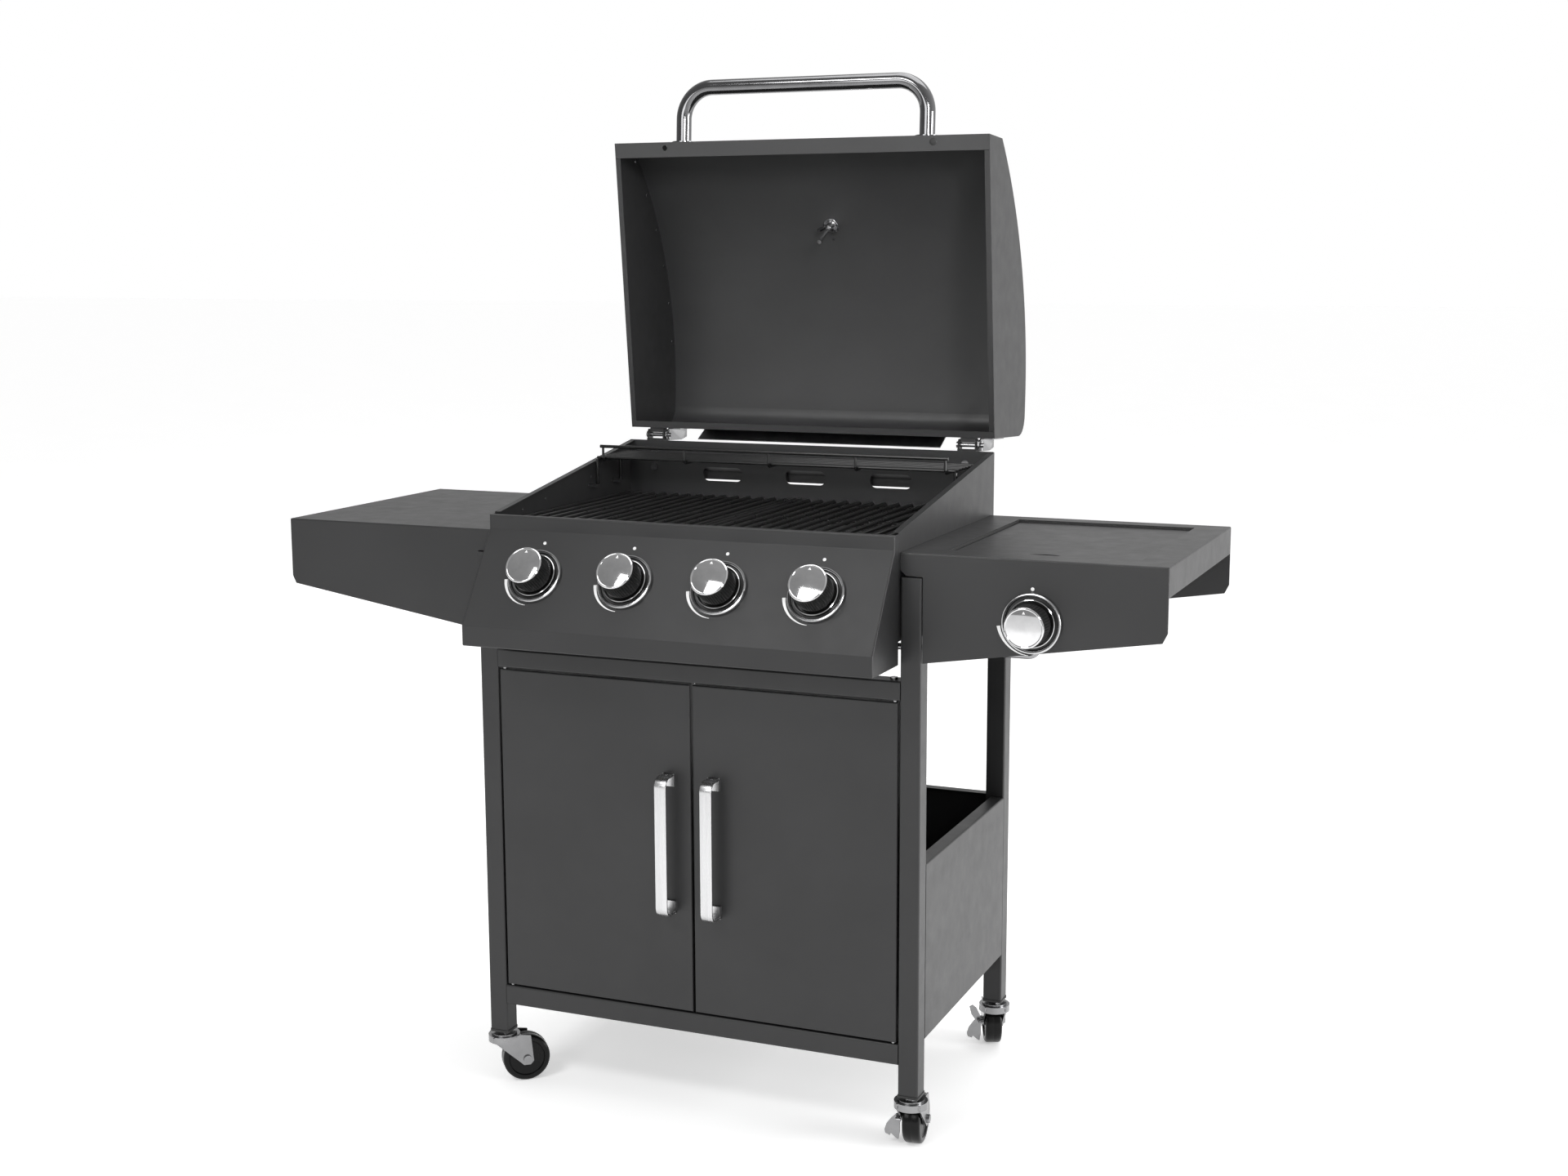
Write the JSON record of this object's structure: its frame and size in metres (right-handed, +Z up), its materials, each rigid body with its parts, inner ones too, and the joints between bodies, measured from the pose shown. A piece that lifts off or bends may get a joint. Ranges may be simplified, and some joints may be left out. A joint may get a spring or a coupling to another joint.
{
  "type": "gas barbecue grill",
  "caption": "Cabinet gas barbecue on swivel casters: hinged open hood, sloping control panel with push-and-turn knobs, folding doors, fixed side shelves and a covered side burner.",
  "frame": {"origin": "on the floor under the middle of the whole grill, hood open", "axes": "+X to the cook's right as they face the grill, +Y to the back, +Z up; the doors and knobs face -Y"},
  "size_m": [1.18, 0.622, 1.3274],
  "materials": {
    "frame_paint": "satin",
    "panel_paint": "satin",
    "firebox_enamel": "satin",
    "chromed": "polished",
    "zinc": "satin",
    "steel": "brushed",
    "galvanised": "satin",
    "grate_enamel": "gloss",
    "brass_valve": "satin",
    "black_plastic": "matte",
    "knob_plastic": "gloss",
    "wheel_rubber": "matte",
    "gauge_case": "polished"
  },
  "bodies": {
    "cart": {"front_legs": "frame_paint", "rear_legs": "frame_paint", "leg_plugs": "black_plastic", "front_bottom_rail": "frame_paint", "front_top_rail": "frame_paint", "bottom_shelf": "panel_paint", "side_panels": "panel_paint", "back_panel": "panel_paint", "firebox_side_walls": "firebox_enamel", "firebox_front_wall": "firebox_enamel", "firebox_rear_wall": "firebox_enamel", "firebox_floor": "galvanised", "burners": "steel", "flame_tamers": "steel", "cooking_grates": "grate_enamel", "warming_rack": "chromed", "control_panel": "panel_paint", "knob_bezels": "chromed", "gas_valves": "brass_valve", "gas_manifold": "zinc", "left_shelf": "panel_paint", "right_shelf": "panel_paint", "side_burner_bowl": "firebox_enamel", "side_burner_head": "brass_valve", "side_burner_trivet": "grate_enamel", "hood_hinge_brackets": "frame_paint", "fasteners": "zinc"},
    "hood": {"hood_skin": "panel_paint", "hood_end_caps": "panel_paint", "hood_handle": "chromed", "hood_thermometer": "gauge_case", "thermometer_wing_nut": "zinc", "hood_rear_baffle": "galvanised", "hood_hinge_arms": "zinc"},
    "left_door": {"door_left": "panel_paint", "door_handle_left": "chromed"},
    "right_door": {"door_right": "panel_paint", "door_handle_right": "chromed"},
    "burner_cover": {"side_burner_cover": "panel_paint"},
    "tray": {"grease_tray": "galvanised"},
    "stem_1": {"valve_stem_1": "zinc"},
    "dial_1": {"knob_1": "knob_plastic"},
    "stem_2": {"valve_stem_2": "zinc"},
    "dial_2": {"knob_2": "knob_plastic"},
    "stem_3": {"valve_stem_3": "zinc"},
    "dial_3": {"knob_3": "knob_plastic"},
    "stem_4": {"valve_stem_4": "zinc"},
    "dial_4": {"knob_4": "knob_plastic"},
    "stem_side": {"valve_stem_side": "zinc"},
    "dial_side": {"knob_side": "knob_plastic"},
    "fork_front_left": {"caster_fork_front_left": "zinc"},
    "wheel_front_left": {"caster_wheel_front_left": "wheel_rubber"},
    "fork_front_right": {"caster_fork_front_right": "zinc"},
    "wheel_front_right": {"caster_wheel_front_right": "wheel_rubber"},
    "pedal_front_right": {"brake_pedal_front_right": "zinc"},
    "fork_rear_left": {"caster_fork_rear_left": "zinc"},
    "wheel_rear_left": {"caster_wheel_rear_left": "wheel_rubber"},
    "fork_rear_right": {"caster_fork_rear_right": "zinc"},
    "wheel_rear_right": {"caster_wheel_rear_right": "wheel_rubber"},
    "pedal_rear_right": {"brake_pedal_rear_right": "zinc"}
  },
  "joints": [
    {"name": "hood_hinge", "type": "hinge", "parent": "cart", "child": "hood", "pos_m": [0, 0.1713, 0.837], "axis": [1, 0, 0], "range_deg": [0, 93]},
    {"name": "left_door_hinge", "type": "hinge", "parent": "cart", "child": "left_door", "pos_m": [-0.2665, -0.2122, 0.35], "axis": [0, 0, -1], "range_deg": [0, 110]},
    {"name": "right_door_hinge", "type": "hinge", "parent": "cart", "child": "right_door", "pos_m": [0.2665, -0.2122, 0.35], "axis": [0, 0, 1], "range_deg": [0, 110]},
    {"name": "burner_cover_hinge", "type": "hinge", "parent": "cart", "child": "burner_cover", "pos_m": [0.4335, 0.1183, 0.7386], "axis": [-1, 0, 0], "range_deg": [0, 95]},
    {"name": "tray_slide", "type": "slide", "parent": "cart", "child": "tray", "axis": [0, 1, 0], "range_m": [0, 0.3]},
    {"name": "push_1", "type": "slide", "parent": "cart", "child": "stem_1", "axis": [0, 0.8357, -0.5492], "range_m": [0, 0.004], "stiffness_N_per_m": 600, "springref_m": -0.003},
    {"name": "turn_1", "type": "hinge", "parent": "stem_1", "child": "dial_1", "pos_m": [-0.1875, -0.26702, 0.69777], "axis": [0, -0.8357, 0.5492], "range_deg": [0, 180]},
    {"name": "push_2", "type": "slide", "parent": "cart", "child": "stem_2", "axis": [0, 0.8357, -0.5492], "range_m": [0, 0.004], "stiffness_N_per_m": 600, "springref_m": -0.003},
    {"name": "turn_2", "type": "hinge", "parent": "stem_2", "child": "dial_2", "pos_m": [-0.0625, -0.26702, 0.69777], "axis": [0, -0.8357, 0.5492], "range_deg": [0, 180]},
    {"name": "push_3", "type": "slide", "parent": "cart", "child": "stem_3", "axis": [0, 0.8357, -0.5492], "range_m": [0, 0.004], "stiffness_N_per_m": 600, "springref_m": -0.003},
    {"name": "turn_3", "type": "hinge", "parent": "stem_3", "child": "dial_3", "pos_m": [0.0625, -0.26702, 0.69777], "axis": [0, -0.8357, 0.5492], "range_deg": [0, 180]},
    {"name": "push_4", "type": "slide", "parent": "cart", "child": "stem_4", "axis": [0, 0.8357, -0.5492], "range_m": [0, 0.004], "stiffness_N_per_m": 600, "springref_m": -0.003},
    {"name": "turn_4", "type": "hinge", "parent": "stem_4", "child": "dial_4", "pos_m": [0.1875, -0.26702, 0.69777], "axis": [0, -0.8357, 0.5492], "range_deg": [0, 180]},
    {"name": "push_side", "type": "slide", "parent": "cart", "child": "stem_side", "axis": [0, 1, 0], "range_m": [0, 0.004], "stiffness_N_per_m": 600, "springref_m": -0.003},
    {"name": "turn_side", "type": "hinge", "parent": "stem_side", "child": "dial_side", "pos_m": [0.433, -0.2147, 0.6725], "axis": [0, -1, 0], "range_deg": [0, 180]},
    {"name": "swivel_front_left", "type": "hinge", "parent": "cart", "child": "fork_front_left", "pos_m": [-0.287, -0.2047, 0.0649], "axis": [0, 0, 1], "continuous": true},
    {"name": "roll_front_left", "type": "hinge", "parent": "fork_front_left", "child": "wheel_front_left", "pos_m": [-0.26555, -0.1867, 0.0314], "axis": [-0.6428, 0.766, 0], "continuous": true},
    {"name": "swivel_front_right", "type": "hinge", "parent": "cart", "child": "fork_front_right", "pos_m": [0.287, -0.2047, 0.0649], "axis": [0, 0, 1], "continuous": true},
    {"name": "roll_front_right", "type": "hinge", "parent": "fork_front_right", "child": "wheel_front_right", "pos_m": [0.28407, -0.17685, 0.0314], "axis": [-0.9945, -0.1045, 0], "continuous": true},
    {"name": "brake_front_right", "type": "hinge", "parent": "fork_front_right", "child": "pedal_front_right", "pos_m": [0.26614, -0.19281, 0.036], "axis": [-0.1045, 0.9945, 0], "range_deg": [0, 20]},
    {"name": "swivel_rear_left", "type": "hinge", "parent": "cart", "child": "fork_rear_left", "pos_m": [-0.287, 0.1473, 0.0649], "axis": [0, 0, 1], "continuous": true},
    {"name": "roll_rear_left", "type": "hinge", "parent": "fork_rear_left", "child": "wheel_rear_left", "pos_m": [-0.31331, 0.13772, 0.0314], "axis": [0.342, -0.9397, 0], "continuous": true},
    {"name": "swivel_rear_right", "type": "hinge", "parent": "cart", "child": "fork_rear_right", "pos_m": [0.287, 0.1473, 0.0649], "axis": [0, 0, 1], "continuous": true},
    {"name": "roll_rear_right", "type": "hinge", "parent": "fork_rear_right", "child": "wheel_rear_right", "pos_m": [0.27606, 0.17307, 0.0314], "axis": [-0.9205, -0.3907, 0], "continuous": true},
    {"name": "brake_rear_right", "type": "hinge", "parent": "fork_rear_right", "child": "pedal_rear_right", "pos_m": [0.26358, 0.15257, 0.036], "axis": [-0.3907, 0.9205, 0], "range_deg": [0, 20]}
  ]
}
